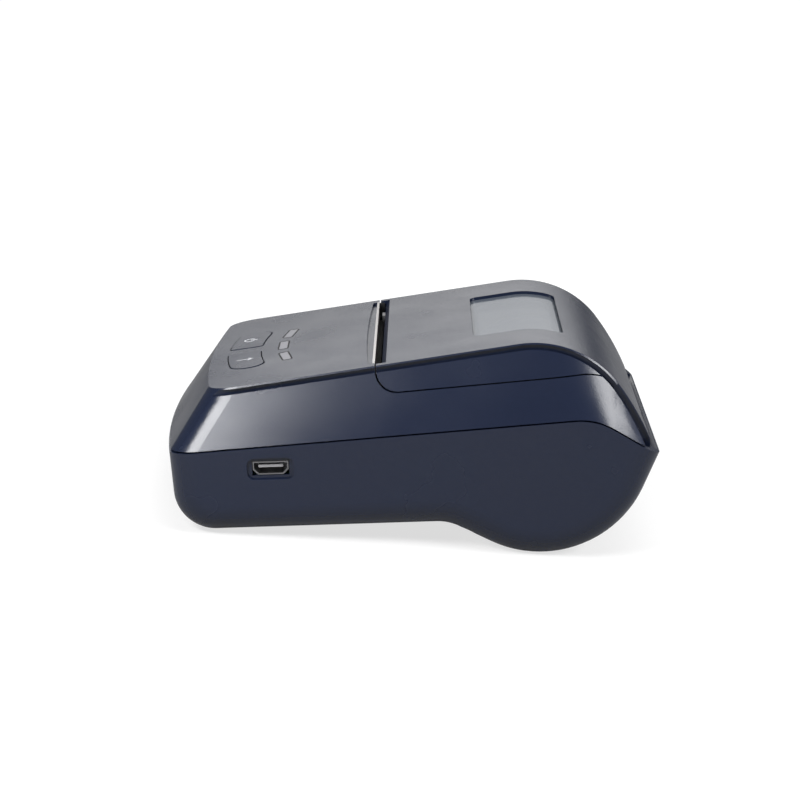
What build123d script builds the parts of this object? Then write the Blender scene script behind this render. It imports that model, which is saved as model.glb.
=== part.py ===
"""Portable receipt printer with a drop-in roll bay under a hinged cover.

The case is drawn seen from its right side: s runs from the nose to the rear along the flat
base and h is the height above that base. The printer stands on two front feet and on its
roll bulge, so the flat base leans by stand_angle. +X is the user's right, -Y the front.
"""
from build123d import *
from math import acos, asin, atan2, cos, degrees, hypot, radians, sin, sqrt, tan
import os

os.makedirs("parts", exist_ok=True)

# Case outline, millimetres and degrees
case_length = 106.7
paper_width = 58.0
side_room = 11.0
half_width = paper_width / 2 + side_room
deck_inset = 6.0
deck_half = half_width - deck_inset
wall = 2.0
nose_height = 17.7
nose_lean = 36.5
chin_set_back = 0.9
front_round = 9.0
bow_radius = 290.0
corner_round = 7.0
lower_round = 6.0
deck_angle = 6.9
crown_back, crown_h, crown_radius = 26.8, 16.0, 22.4
crown_s = case_length - crown_back
heel_radius, heel_start, heel_finish = 58.0, 55.0, 74.0
bulge_back, bulge_h, bulge_radius = 25.3, 16.4, 24.0
bulge_s = case_length - bulge_back
flank_angle = 28.0
flank_round = 10.0
tip_height = 13.9
parting_rise = 3.0
peak_back = 13.7
parting_peak_s = case_length - peak_back
parting_round = 14.0
parting_gap = 0.35
crease_depth, crease_top, crease_width = 0.7, 0.35, 1.1
rear_corner = 6.5
split_line_depth = 1.2

# Cover and hinge
slot_back = 60.1
slot_s = case_length - slot_back
slot_width = 1.5
cover_bevel = 0.9
slot_half = paper_width / 2 + 3.4
tear_half, tear_thickness = slot_half - 1.0, 0.5
tear_depth, tear_rise = 3.33, 0.17
tooth_pitch, tooth_height = 1.2, 0.45
dip_length, dip_bow, dip_depth = 1.47, 0.8, 0.6
skirt_depth, skirt_corner_round = 5.83, 4.5
skirt_rise = 3.6
skirt_peak_s, skirt_drop, skirt_peak_round = parting_peak_s, 25.0, 12.0
cover_gap = 0.3
hinge_depth, hinge_lean = 2.41, 68.9
cover_opening = 90.0
barrel_radius, pin_radius = 2.25, 1.0
pin_clearance = 0.06
swing_gap = 0.35
knuckle_in, knuckle_out = 14.0, 20.0
barrel_end = deck_half - 0.6
window_half, window_length, window_lead = 20.3, 19.6, 12.0
window_start = crown_s - window_lead
window_end = window_start + window_length
window_round, window_recess, window_gap, window_ledge = 1.6, 0.7, 0.1, 1.6
liner_thickness, liner_half, liner_lean = 1.3, slot_half - 2.0, 48.0
liner_start = slot_s + 2.4
ear_inner, ear_thickness, ear_half = paper_width / 2 - 0.9, 0.9, 3.2

# Platen, print head and gear train
platen_set, platen_depth, platen_radius = 5.9, 7.53, 4.6
platen_s = slot_s + platen_set
platen_length = paper_width - 2.2
shaft_radius = 1.5
running_clearance = 0.05
plate_inner, plate_thickness = paper_width / 2 + 0.4, 1.0
bush_radius, bush_inner, bush_width = 3.0, plate_inner - 0.2, 1.4
slot_lean, slot_flare, slot_depth = 13.0, 8.0, 9.0
module = 0.5
platen_teeth, idler_teeth, small_teeth, large_teeth, pinion_teeth = 20, 22, 12, 28, 10
idler_lean, compound_lean, motor_lean = 12.5, 75.0, 37.0
gear_plane, gear_width = plate_inner + 1.4, 1.4
large_plane = gear_plane + gear_width + 0.4
gear_pin_radius = 1.0
head_gap, head_thickness, sink_thickness = 0.3, 1.0, 1.8
head_depth, head_height_up, head_half = 12.53, 9.0, paper_width / 2 - 2
sink_below, sink_pivot_below = 6.5, 4.5
spring_wall = platen_s - 10.2
motor_radius, motor_length = 7.5, 14.0

# Roll, battery, boards and socket
roll_radius, core_radius, core_bore = 18.0, 6.5, 5.0
roll_gap = 0.3
bay_half, bay_wall = paper_width / 2 + 1.6, 1.4
battery_half, battery_start, battery_back = half_width - 10.0, 18.6, 54.1
battery_length = case_length - battery_back - battery_start
battery_bottom, battery_top = 2.0, 10.0
well_wall = 2.0
door_thickness, door_gap, door_margin = 1.6, 0.3, 0.9
trunnion_radius, trunnion_reach = 0.6, 1.1
board_thickness, board_start, board_length = 1.6, 17.6, 16.5
board_left, board_right = half_width - 6.0, half_width - 2.4
socket_s, socket_h, socket_width, socket_height, socket_wall = 23.9, 14.3, 7.6, 2.9, 0.3
socket_depth, recess_depth, recess_width, recess_height = 5.2, 0.8, 10.0, 4.7
key_board_top, key_board_thickness, key_board_half = 4.7, 1.0, 22.0
key_arc_centre, key_front_radius, key_rear_radius = 81.7, 78.0, 70.2
key_inner, key_front_outer, key_rear_outer = 2.3, 17.2, 19.2
key_gap, key_proud, key_travel, key_flange = 0.25, 0.1, 0.5, 0.8
key_bottom, key_middle, key_board_ends = 2.65, (10.7, 8.9), (2.5, 19.0)
led_arc_radius, led_turn = 65.3, 10.0
led_length, led_width = 7.3, 1.8
boss_radius, screw_radius, head_radius = 2.7, 1.0, 1.9
front_boss = (27.0, 14.0)
rear_boss = (half_width - 5.8, case_length - 41.2)
frame_post = (plate_inner + 3.8, platen_s + 6.3)
foot_x, foot_s, foot_radius, foot_front, foot_sunk = 27.0, 14.0, 3.6, 0.6, 0.8
seat_h, head_height, screw_top, rear_boss_top = 2.8, 1.5, 23.5, 28.0
bay_top = 20.5
contact_places = (-6.0, 0.0, 6.0)


def above(centre, radius, lean):
    """The point of a circle that lies lean degrees behind straight up."""
    return (centre[0] + radius * sin(radians(lean)), centre[1] + radius * cos(radians(lean)))


# The standing angle: a line from the foot's front edge that touches the bulge
foot_edge_s = foot_s - foot_radius
rise = bulge_h + foot_front
reach = bulge_s - foot_edge_s
stand_angle = asin(bulge_radius / hypot(reach, rise)) - atan2(rise, reach)
lean_cos, lean_sin = cos(stand_angle), sin(stand_angle)
nose_y = -nose_height * lean_sin
tip_y = case_length * lean_cos - tip_height * lean_sin
base_y = -(nose_y + tip_y) / 2
base_z = foot_front * lean_cos - foot_edge_s * lean_sin

base = Plane(origin=(0, base_y, base_z), x_dir=(1, 0, 0), z_dir=(0, -lean_sin, lean_cos))
side = Plane(origin=base.origin, x_dir=base.y_dir, z_dir=(1, 0, 0))

crown = (crown_s, crown_h)
heel = above(crown, crown_radius - heel_radius, heel_start)
bulge = (bulge_s, bulge_h)
hinge = above(heel, heel_radius - hinge_depth, hinge_lean)
hinge_s, hinge_h = hinge
tip = (case_length, tip_height)
sky, cellar, before = 60.0, -30.0, -12.0
parting_slope = tan(radians(parting_rise))
parting_peak = (parting_peak_s, nose_height + parting_peak_s * parting_slope)
tip_slope = (tip[1] - parting_peak[1]) / (tip[0] - parting_peak[0])
beyond = case_length + 8.0


def deck_h(s, inset=0.0):
    """Height of the flat deck above the base, at a distance from the nose."""
    flat_end = above(crown, crown_radius - inset, -deck_angle)
    return flat_end[1] + (s - flat_end[0]) * tan(radians(deck_angle))


deck_s = (deck_h(0) - nose_height) / (1 / tan(radians(nose_lean)) - tan(radians(deck_angle)))
deck_lean = stand_angle + radians(deck_angle)
deck = Plane(origin=side.from_local_coords((deck_s, deck_h(deck_s))), x_dir=(1, 0, 0),
             z_dir=(0, -sin(deck_lean), cos(deck_lean)))


# Heights that hang from the deck at the slot, and the slot's place along the deck
deck_top = deck_h(slot_s)
slot_reach = (slot_s - deck_s) / cos(radians(deck_angle))
tear_bottom, tear_top = deck_top - tear_depth, deck_top + tear_rise
platen_h = deck_top - platen_depth
skirt_corner_h = deck_top - skirt_depth
head_bottom = deck_top - head_depth
head_top = head_bottom + head_height_up
sink_bottom, sink_pivot_h = head_bottom - sink_below, head_bottom - sink_pivot_below
spring_h = (head_top + head_bottom) / 2 - 0.5
dip_end = slot_reach - dip_length
dip_middle = dip_end - dip_bow


def top_edges(inset):
    """Draw the top of the case from the nose end to the rear, and give its two ends."""
    flat_end = above(crown, crown_radius - inset, -deck_angle)
    start = (before, deck_h(before, inset))
    turn = above(crown, crown_radius - inset, heel_start)
    finish = above(heel, heel_radius - inset, heel_finish)
    Line(start, flat_end)
    ThreePointArc(flat_end, above(crown, crown_radius - inset, (heel_start - deck_angle) / 2), turn)
    ThreePointArc(turn, above(heel, heel_radius - inset, (heel_start + heel_finish) / 2), finish)
    return start, finish


def parting_edges(lift=0.0):
    """Draw the parting line between the two case halves, and give its two ends."""
    start = (before, nose_height + before * parting_slope + lift)
    peak = (parting_peak[0], parting_peak[1] + lift)
    finish = (beyond, tip[1] + (beyond - tip[0]) * tip_slope + lift)
    FilletPolyline(start, peak, finish, radius=parting_round)
    return start, finish


def close_over(start, finish, level):
    """Close a drawn line through a level above or below it."""
    Polyline(finish, (finish[0], level), (start[0], level), start)


def side_cutter(inset):
    """The space outside the leaning side panel, ruled from the deck's crease to the parting."""
    with BuildPart() as cutter:
        with BuildSketch(side.offset(deck_half - inset)):
            with BuildLine():
                close_over(*top_edges(inset), sky)
            make_face()
        with BuildSketch(side.offset(half_width - inset)):
            with BuildLine():
                close_over(*parting_edges(), sky)
            make_face()
        loft(ruled=True)
        mirror(about=side)
    return cutter.part


def front_cutter(inset, slope):
    """The space before the deck's slope or the nose wall, bowed round a far upright axis."""
    axis_foot = base.from_local_coords((0, bow_radius, 0))
    spread = degrees(asin(half_width * 1.2 / bow_radius))
    lean = tan(radians(nose_lean)) if slope else -chin_set_back / nose_height
    start, finish = (nose_height, sky) if slope else (0, nose_height)
    ends = [((level - nose_height) * lean, level) for level in (start - 6, finish + 6)]
    shift = inset / cos(atan2(lean, 1))
    with BuildPart() as cutter:
        with BuildSketch(side):
            with BuildLine():
                Polyline([(s + shift, h) for s, h in ends]
                         + [(2 * before, finish + 6), (2 * before, start - 6)], close=True)
            make_face()
        revolve(axis=Axis(axis_foot, base.z_dir), revolution_arc=spread)
        mirror(about=side)
    return cutter.part


def side_view(edges, level):
    """A solid as wide as the case, from a line drawn in side view and closed at a level."""
    with BuildPart() as block:
        with BuildSketch(side):
            with BuildLine():
                close_over(*edges(), level)
            make_face()
        extrude(amount=half_width + 2, both=True)
    return block.part


below_parting = side_view(parting_edges, cellar)
above_parting = side_view(parting_edges, sky)


def upper_form(inset):
    """The case above the parting line, drawn in by inset on every face."""
    cutters = [below_parting, side_cutter(inset), front_cutter(inset, True)]
    corners = [base.from_local_coords((x * (deck_half + half_width) / 2,
                                       deck_s * 0.75, (nose_height + deck_h(deck_s)) / 2))
               for x in (-1, 1)]
    with BuildPart() as plan:
        with BuildSketch(base.offset(cellar)):
            with Locations((0, tip[0] / 2)):
                Rectangle(2 * (half_width - inset), tip[0])
            fillet(vertices().group_by(Axis.Y)[-1], radius=rear_corner - inset)
        extrude(amount=sky - cellar)
    with BuildPart() as form:
        with BuildSketch(side):
            with BuildLine():
                close_over(*top_edges(inset), cellar)
            make_face()
        extrude(amount=half_width - inset, both=True)
        for cutter in cutters:
            add(cutter, mode=Mode.SUBTRACT)
        add(plan.part, mode=Mode.INTERSECT)
        slanted = [form.edges().sort_by_distance(corner)[0] for corner in corners]
        fillet(slanted, radius=corner_round - inset)
    return form.part


def lower_form(inset):
    """The case below the parting line, drawn in by inset on every face."""
    flank_end = above(bulge, bulge_radius, 180 + flank_angle)
    flank_foot = (flank_end[0] - (0 - flank_end[1]) / tan(radians(flank_angle)), 0)
    to_tip = degrees(atan2(tip[0] - bulge_s, tip[1] - bulge_h))
    touch = degrees(acos(bulge_radius / hypot(tip[0] - bulge_s, tip[1] - bulge_h)))
    rear_end = above(bulge, bulge_radius, to_tip + touch)
    front = front_cutter(inset, False)
    with BuildPart() as form:
        with BuildSketch(side):
            with BuildLine():
                FilletPolyline((before, 0), flank_foot, flank_end, radius=flank_round)
                ThreePointArc(flank_end, (bulge_s, bulge_h - bulge_radius), rear_end)
                Polyline(rear_end, tip, (tip[0], sky), (before, sky), (before, 0))
            make_face()
            if inset > 0:
                offset(amount=-inset, kind=Kind.INTERSECTION)
        extrude(amount=half_width - inset, both=True)
        add(above_parting, mode=Mode.SUBTRACT)
        add(front, mode=Mode.SUBTRACT)
        chin_spot = base.from_local_coords((0, chin_set_back + inset, inset))
        chin = form.edges().sort_by_distance(chin_spot)[0]
        fillet(chin, radius=front_round - inset)
        rims = []
        for face in form.faces().filter_by(Plane.YZ):
            for edge in face.edges():
                spot = side.to_local_coords(edge.center())
                if spot.Y < min(nose_height + spot.X * parting_slope, tip_height) - wall:
                    rims.append(edge)
        fillet(rims, radius=lower_round - inset)
    return form.part


def block(x, s, h):
    """A box between two values of x, of s and of h."""
    with BuildPart() as piece:
        with BuildSketch(base.offset(h[0])):
            with Locations(((x[0] + x[1]) / 2, (s[0] + s[1]) / 2)):
                Rectangle(x[1] - x[0], s[1] - s[0])
        extrude(amount=h[1] - h[0])
    return piece.part


def rod(centre, radius, x):
    """A round bar that lies across the case, seen at centre in side view."""
    with BuildPart() as piece:
        with BuildSketch(side.offset(x[0])):
            with Locations(centre):
                Circle(radius)
        extrude(amount=x[1] - x[0])
    return piece.part


def post(spot, radius, h):
    """A round bar that stands on the base at (x, s)."""
    with BuildPart() as piece:
        with BuildSketch(base.offset(h[0])):
            with Locations(spot):
                Circle(radius)
        extrude(amount=h[1] - h[0])
    return piece.part


def plate(points, x):
    """A flat plate across the case, cut to points in side view."""
    with BuildPart() as piece:
        with BuildSketch(side.offset(x[0])):
            with BuildLine():
                Polyline(points, close=True)
            make_face()
        extrude(amount=x[1] - x[0])
    return piece.part


def top_band(outer, inner, half, ends):
    """A layer under the top of the case between two depths, two half widths and two ends."""
    with BuildPart() as piece:
        with BuildSketch(side):
            with BuildLine():
                close_over(*top_edges(outer), cellar)
            make_face()
            with BuildLine():
                close_over(*top_edges(inner), cellar)
            make_face(mode=Mode.SUBTRACT)
        extrude(amount=half, both=True)
        add(block((-half, half), ends, (0, sky)), mode=Mode.INTERSECT)
    return piece.part


def both_sides(solid):
    """A solid and its mirror image."""
    with BuildPart() as pair:
        add(solid)
        mirror(about=side)
    return pair.part


# Regions that share the case between its pieces
upper_outside = upper_form(0)
upper_inside = upper_form(wall)
lower_outside = lower_form(0)
lower_inside = lower_form(wall)

skirt_far = skirt_corner_h + (skirt_peak_s - slot_s) * tan(radians(skirt_rise))
skirt_middle_s = slot_s + 9.2
skirt_middle_h = skirt_corner_h + (skirt_middle_s - slot_s) * tan(radians(skirt_rise))
skirt_end_s = skirt_peak_s + 9.0
skirt_end_h = skirt_far - (skirt_end_s - skirt_peak_s) * tan(radians(skirt_drop))


def cover_zone(gap):
    """The room of the cover: its sides down to the skirt line, and the whole rear between wings."""
    with BuildPart() as zone:
        with BuildSketch(side):
            with BuildLine():
                Line((slot_s + gap, sky), (slot_s + gap, skirt_corner_h + 12))
                FilletPolyline((slot_s + gap, skirt_corner_h + 12), (slot_s + gap, skirt_corner_h + gap),
                               (skirt_middle_s, skirt_middle_h + gap), radius=skirt_corner_round)
                FilletPolyline((skirt_middle_s, skirt_middle_h + gap),
                               (skirt_peak_s, skirt_far + gap), (skirt_end_s, skirt_end_h + gap),
                               radius=skirt_peak_round)
                Polyline((skirt_end_s, skirt_end_h + gap), (skirt_end_s, sky), (slot_s + gap, sky))
            make_face()
            with BuildLine():
                close_over(*top_edges(crease_top + crease_width - gap), sky)
            make_face()
            with Locations((slot_s / 2 - 10, 0)):
                Rectangle(slot_s + 20 + 2 * gap, 4 * sky, mode=Mode.SUBTRACT)
        extrude(amount=half_width + 1, both=True)
        with BuildSketch(side):
            with Locations(((skirt_peak_s + beyond) / 2, 0)):
                Rectangle(beyond - skirt_peak_s, 2 * sky)
        extrude(amount=deck_half - gap, both=True)
    return zone.part


def crease_groove(start):
    """The groove under the crease, from a distance behind the nose."""
    with BuildPart() as groove:
        with BuildSketch(side.offset(deck_half - crease_depth)):
            with BuildLine():
                close_over(*top_edges(crease_top), cellar)
            make_face()
            with BuildLine():
                close_over(*top_edges(crease_top + crease_width), cellar)
            make_face(mode=Mode.SUBTRACT)
            with Locations((start / 2 - 10, 0)):
                Rectangle(start + 20, 4 * sky, mode=Mode.SUBTRACT)
        extrude(amount=half_width)
        mirror(about=side)
    return groove.part


groove = crease_groove(deck_s + 3.0)

with BuildPart() as split_line:
    with BuildSketch(side):
        with BuildLine():
            close_over(*parting_edges(), sky)
        make_face()
        with BuildLine():
            close_over(*parting_edges(parting_gap), sky)
        make_face(mode=Mode.SUBTRACT)
    extrude(amount=half_width + 1, both=True)
    add(upper_form(split_line_depth), mode=Mode.SUBTRACT)


# Places inside the case
platen = (platen_s, platen_h)
idler = above(platen, (platen_teeth + idler_teeth) * module / 2, 180 + idler_lean)
compound = above(idler, (idler_teeth + small_teeth) * module / 2, 180 + compound_lean)
motor = above(compound, (large_teeth + pinion_teeth) * module / 2, -motor_lean)
roll = (bulge_s, bulge_h - bulge_radius + wall + roll_gap + roll_radius)
board_top = socket_h - socket_height / 2
board_h = board_top - board_thickness
plate_outer = plate_inner + plate_thickness
gear_end = gear_plane + gear_width
large_end = large_plane + gear_width
head_s = platen_s - platen_radius - head_gap
sink_s = head_s - head_thickness
sink_front = sink_s - sink_thickness
battery_end = battery_start + battery_length
well = (battery_half + well_wall, battery_start - well_wall, battery_end + well_wall)
door = (battery_half + door_margin, battery_start - door_margin, battery_end + door_margin)
trunnion = (door[1] + door_thickness / 2, door_thickness / 2)
cover_front = slot_s + slot_width
deck_rear = slot_s - tear_thickness
tip_radius = module * (idler_teeth / 2 + 0.8)

# The room that the cover's tail needs behind the hinge when it is fully open
tail = [above(heel, heel_radius + swing_gap, lean) for lean in (62, 64, 66, 68, 70)]
turned = Plane(side.location * Pos(*hinge) * Rot(0, 0, -cover_opening) * Pos(-hinge_s, -hinge_h))
with BuildPart() as tail_room:
    with BuildSketch(turned.offset(cover_gap - deck_half)):
        with BuildLine():
            Polyline(tail + [hinge, (hinge_s - 3, tail[0][1])], close=True)
        make_face()
    extrude(amount=2 * (deck_half - cover_gap))

# Lower case
with BuildPart() as lower_room:
    add(lower_outside)
    add(both_sides(rod(hinge, barrel_radius, (knuckle_in, knuckle_out))))

with BuildPart() as lower_case:
    add(lower_outside)
    add(lower_inside, mode=Mode.SUBTRACT)
    add(rod(hinge, barrel_radius + swing_gap, (-deck_half, deck_half)), mode=Mode.SUBTRACT)
    add(tail_room.part, mode=Mode.SUBTRACT)
    foot_end = bulge_s - 20.3
    for x, s in (front_boss, rear_boss):
        add(both_sides(post((x, s), boss_radius + 0.5, (wall / 2 if s < foot_end else -2, sky / 2))))
    add(both_sides(post(frame_post, boss_radius, (wall / 2, board_h))))
    add(block((-well[0], well[0]), (well[1], well[2]), (door_thickness + door_gap, board_h)))
    add(block((-battery_half, battery_half), (battery_start, battery_end), (-1, board_h + 1)),
        mode=Mode.SUBTRACT)
    add(block((-door[0] - door_gap, door[0] + door_gap), (door[1] - door_gap, door[2] + door_gap),
              (-1, door_thickness + door_gap)), mode=Mode.SUBTRACT)
    add(both_sides(plate([(roll[0] - 19.4, -9), (roll[0] - 19.4, bay_top), (roll[0] + 15.6, bay_top),
                          (roll[0] + 18.6, 12), (roll[0] + 18.6, -9)],
                         (bay_half, bay_half + bay_wall))))
    with BuildSketch(side.offset(-bay_half)):
        with Locations(roll):
            Circle(roll_radius + 2.7)
            Circle(roll_radius + 1.3, mode=Mode.SUBTRACT)
        with Locations((roll[0], bay_top + 30)):
            Rectangle(60, 60, mode=Mode.SUBTRACT)
        with Locations((roll[0] + 20, roll[1])):
            Rectangle(65, 60, mode=Mode.SUBTRACT)
    extrude(amount=2 * bay_half)
    with BuildSketch(side.offset(knuckle_in)):
        with Locations(hinge):
            Circle(barrel_radius)
        with BuildLine():
            Polyline((hinge_s - barrel_radius, hinge_h),
                     (hinge_s + 0.6 * barrel_radius, hinge_h - 0.8 * barrel_radius),
                     (hinge_s + 1.0, hinge_h - 7.6), (hinge_s - 1.4, hinge_h - 9.1), close=True)
        make_face()
        with Locations(hinge):
            Circle(pin_radius, mode=Mode.SUBTRACT)
    knuckle = extrude(amount=knuckle_out - knuckle_in)
    mirror(knuckle, about=side)
    add(lower_room.part, mode=Mode.INTERSECT)
    for spot in (front_boss, rear_boss):
        add(both_sides(post(spot, head_radius + 0.3, (-9, seat_h))), mode=Mode.SUBTRACT)
        add(both_sides(post(spot, screw_radius + 0.2, (0, 30))), mode=Mode.SUBTRACT)
    add(both_sides(post(frame_post, screw_radius, (board_h - 6, board_h))), mode=Mode.SUBTRACT)
    add(both_sides(post((foot_x, foot_s), foot_radius, (-2, foot_sunk))), mode=Mode.SUBTRACT)
    add(rod(idler, tip_radius + 0.4, (plate_outer + 0.1, well[0] + 1)), mode=Mode.SUBTRACT)
    add(rod(compound, tip_radius - 2, (plate_outer + 0.1, well[0] + 1)), mode=Mode.SUBTRACT)
    add(both_sides(rod(trunnion, trunnion_radius + running_clearance,
                       (door[0], door[0] + door_gap + trunnion_reach))), mode=Mode.SUBTRACT)
    for x in contact_places:
        add(block((x - 0.8, x + 0.8), (battery_start - 0.5, battery_start), (6, board_h)),
            mode=Mode.SUBTRACT)
    with BuildSketch(side.offset(half_width)):
        with Locations((socket_s, socket_h)):
            RectangleRounded(recess_width, recess_height, 1.6)
    extrude(amount=-recess_depth, mode=Mode.SUBTRACT)
    with BuildSketch(side.offset(half_width - 2 * wall)):
        with Locations((socket_s, socket_h)):
            Rectangle(socket_width + 0.3, socket_height + 0.3)
    extrude(amount=2 * wall, mode=Mode.SUBTRACT)
lower_case.part.label = "lower_case"
export_step(lower_case.part, "parts/lower_case.step")


# Upper case
def key_outline(grow):
    """Outline of one button, bowed to the front; a negative grow makes it smaller."""
    front, rear = key_front_radius + grow, key_rear_radius - grow
    inner, near, far = key_inner - grow, key_front_outer + grow, key_rear_outer + grow
    points = []
    for radius, x in ((front, inner), (front, (inner + near) / 2), (front, near),
                      (rear, far), (rear, (inner + far) / 2), (rear, inner)):
        points.append((x, key_arc_centre - sqrt(radius ** 2 - x ** 2)))
    with BuildSketch() as outline:
        with BuildLine():
            ThreePointArc(*points[:3])
            Line(points[2], points[3])
            ThreePointArc(*points[3:])
            Line(points[5], points[0])
        make_face()
        fillet([corner for corner in outline.vertices() if corner.X > near - 1], radius=3.4)
        fillet([corner for corner in outline.vertices() if corner.X < inner + 0.1], radius=0.7)
    return outline.sketch


def key_solid(grow, low, high):
    """The prism of the right-hand button between two heights over the deck."""
    with BuildPart() as key:
        with BuildSketch(deck.offset(low)):
            add(key_outline(grow))
        extrude(amount=high - low)
    return key.part


def deck_block(x, y, z):
    """A box drawn on the deck: across, along, and over it."""
    with BuildPart() as piece:
        with BuildSketch(deck.offset(z[0])):
            with Locations(((x[0] + x[1]) / 2, (y[0] + y[1]) / 2)):
                Rectangle(x[1] - x[0], y[1] - y[0])
        extrude(amount=z[1] - z[0])
    return piece.part


def deck_post(spot, radius, z):
    """A round bar that stands on the deck at (across, along)."""
    with BuildPart() as piece:
        with BuildSketch(deck.offset(z[0])):
            with Locations(spot):
                Circle(radius)
        extrude(amount=z[1] - z[0])
    return piece.part


def led_bar(turn, length, width, z):
    """One light bar on the arc through the three lights, turned round the arc's centre."""
    with BuildPart() as piece:
        with BuildSketch(deck.offset(z[0])):
            with Locations(Pos(0, key_arc_centre) * Rot(0, 0, turn) * Pos(0, -led_arc_radius)):
                RectangleRounded(length, width, 0.3)
        extrude(amount=z[1] - z[0])
    return piece.part


led_turns = {"left": -led_turn, "middle": 0.0, "right": led_turn}
key_posts = ((20.3, 4.0), (20.7, 17.2))

with BuildPart() as upper_case:
    add(upper_outside)
    add(upper_inside, mode=Mode.SUBTRACT)
    for spot, top in ((front_boss, sky), (rear_boss, rear_boss_top)):
        add(both_sides(post(spot, boss_radius, (nose_height - 2, top))))
    for spot in key_posts:
        add(both_sides(deck_post(spot, 1.2, (-key_board_top, -wall / 2))))
    add(upper_outside, mode=Mode.INTERSECT)
    add(cover_zone(0), mode=Mode.SUBTRACT)
    add(groove, mode=Mode.SUBTRACT)
    add(split_line.part, mode=Mode.SUBTRACT)
    add(both_sides(post(front_boss, screw_radius, (nose_height - 2, screw_top))), mode=Mode.SUBTRACT)
    add(both_sides(post(rear_boss, screw_radius, (nose_height, screw_top + 2))), mode=Mode.SUBTRACT)
    add(block((-tear_half, tear_half), (deck_rear, slot_s + 1), (tear_bottom, sky)),
        mode=Mode.SUBTRACT)
    add(both_sides(key_solid(0, -2 * wall, wall)), mode=Mode.SUBTRACT)
    for turn in led_turns.values():
        add(led_bar(turn, led_length, led_width, (-2 * wall, wall)), mode=Mode.SUBTRACT)
    with BuildSketch(deck):
        with BuildLine():
            ThreePointArc((-tear_half, dip_end), (0, dip_middle), (tear_half, dip_end))
            Polyline((tear_half, dip_end), (tear_half, slot_s), (-tear_half, slot_s),
                     (-tear_half, dip_end))
        make_face()
    extrude(amount=-dip_depth, mode=Mode.SUBTRACT)
    whole = upper_case.solids().sort_by(SortBy.VOLUME)[-1]
    add(whole, mode=Mode.INTERSECT)
upper_case.part.label = "upper_case"
export_step(upper_case.part, "parts/upper_case.step")


# Cover with its window and liner
def window_room(grow):
    """The upright prism of the window opening."""
    with BuildPart() as room:
        with BuildSketch(base):
            with Locations((0, (window_start + window_end) / 2)):
                RectangleRounded(2 * (window_half + grow), window_end - window_start + 2 * grow,
                                 window_round + max(grow, 0))
        extrude(amount=sky)
    return room.part


edge_line = [above(heel, reach, hinge_lean) for reach in (heel_radius - 20, heel_radius + 10)]

with BuildPart() as cover:
    add(upper_outside)
    add(upper_inside, mode=Mode.SUBTRACT)
    add(cover_zone(cover_gap), mode=Mode.INTERSECT)
    add(groove, mode=Mode.SUBTRACT)
    add(block((-slot_half, slot_half), (0, cover_front), (0, sky)), mode=Mode.SUBTRACT)
    add(both_sides(block((deck_half - cover_gap, half_width), (skirt_peak_s + 5, beyond), (0, sky))),
        mode=Mode.SUBTRACT)
    add(plate([(cover_front - 1, deck_h(cover_front) - 2.1),
               (cover_front + cover_bevel + 1, deck_h(cover_front + cover_bevel) + 1.1),
               (cover_front - 1, sky)], (-slot_half, slot_half)), mode=Mode.SUBTRACT)
    add(plate(edge_line + [(edge_line[1][0], cellar), (edge_line[0][0], cellar)],
              (-half_width, half_width)), mode=Mode.SUBTRACT)
    add(rod(hinge, barrel_radius, (-barrel_end, barrel_end)))
    add(both_sides(rod(hinge, barrel_radius + swing_gap,
                       (knuckle_in - swing_gap, knuckle_out + swing_gap))), mode=Mode.SUBTRACT)
    add(rod(hinge, pin_radius + pin_clearance, (-deck_half, deck_half)), mode=Mode.SUBTRACT)
    add(window_room(0), mode=Mode.SUBTRACT)
cover.part.label = "cover"
export_step(cover.part, "parts/cover.step")

with BuildPart() as window:
    add(top_band(window_recess, wall, window_half + 1, (window_start - 2, window_end + 2)))
    add(window_room(-window_gap), mode=Mode.INTERSECT)
window.part.label = "window"
export_step(window.part, "parts/window.step")

with BuildPart() as cover_liner:
    add(top_band(wall, wall + liner_thickness, liner_half,
                 (liner_start, crown_s + crown_radius * sin(radians(liner_lean)))))
    add(window_room(-window_ledge), mode=Mode.SUBTRACT)
    with BuildSketch(side.offset(ear_inner)):
        with Locations(platen):
            Circle(ear_half)
        with Locations((platen_s, platen_h + 3)):
            Rectangle(2 * ear_half, 6)
        with Locations(platen):
            Circle(shaft_radius + running_clearance, mode=Mode.SUBTRACT)
        with BuildLine():
            close_over(*top_edges(wall + liner_thickness / 2), sky)
        make_face(mode=Mode.SUBTRACT)
    ear = extrude(amount=ear_thickness)
    mirror(ear, about=side)
cover_liner.part.label = "cover_liner"
export_step(cover_liner.part, "parts/cover_liner.step")

with BuildPart() as hinge_pin:
    add(rod(hinge, pin_radius, (0.4 - barrel_end, barrel_end - 0.4)))
hinge_pin.part.label = "hinge_pin"
export_step(hinge_pin.part, "parts/hinge_pin.step")

with BuildPart() as slot_guide:
    add(block((7.5 - tear_half, 11 - tear_half), (cover_front - 0.7, cover_front),
              (tear_top - 2.5, tear_top - 1.1)))
slot_guide.part.label = "slot_guide"
export_step(slot_guide.part, "parts/slot_guide.step")

# Tear bar, a toothed strip that stands across the slot
strip = Plane(origin=side.from_local_coords((slot_s, 0)), x_dir=(1, 0, 0),
              z_dir=(0, -lean_cos, -lean_sin))
tooth_count = int(2 * tear_half / tooth_pitch)
tooth_start = -tooth_count * tooth_pitch / 2
teeth = []
for number in range(tooth_count):
    left = tooth_start + number * tooth_pitch
    teeth.append((left, tear_top - tooth_height))
    teeth.append((left + tooth_pitch / 2, tear_top))
teeth.append((-tooth_start, tear_top - tooth_height))
with BuildPart() as tear_bar:
    with BuildSketch(strip):
        with BuildLine():
            Polyline([(tear_half, tear_bottom), (-tear_half, tear_bottom),
                      (-tear_half, tear_top - tooth_height)] + teeth
                     + [(tear_half, tear_top - tooth_height)], close=True)
        make_face()
    extrude(amount=tear_thickness)
tear_bar.part.label = "tear_bar"
export_step(tear_bar.part, "parts/tear_bar.step")

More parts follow.
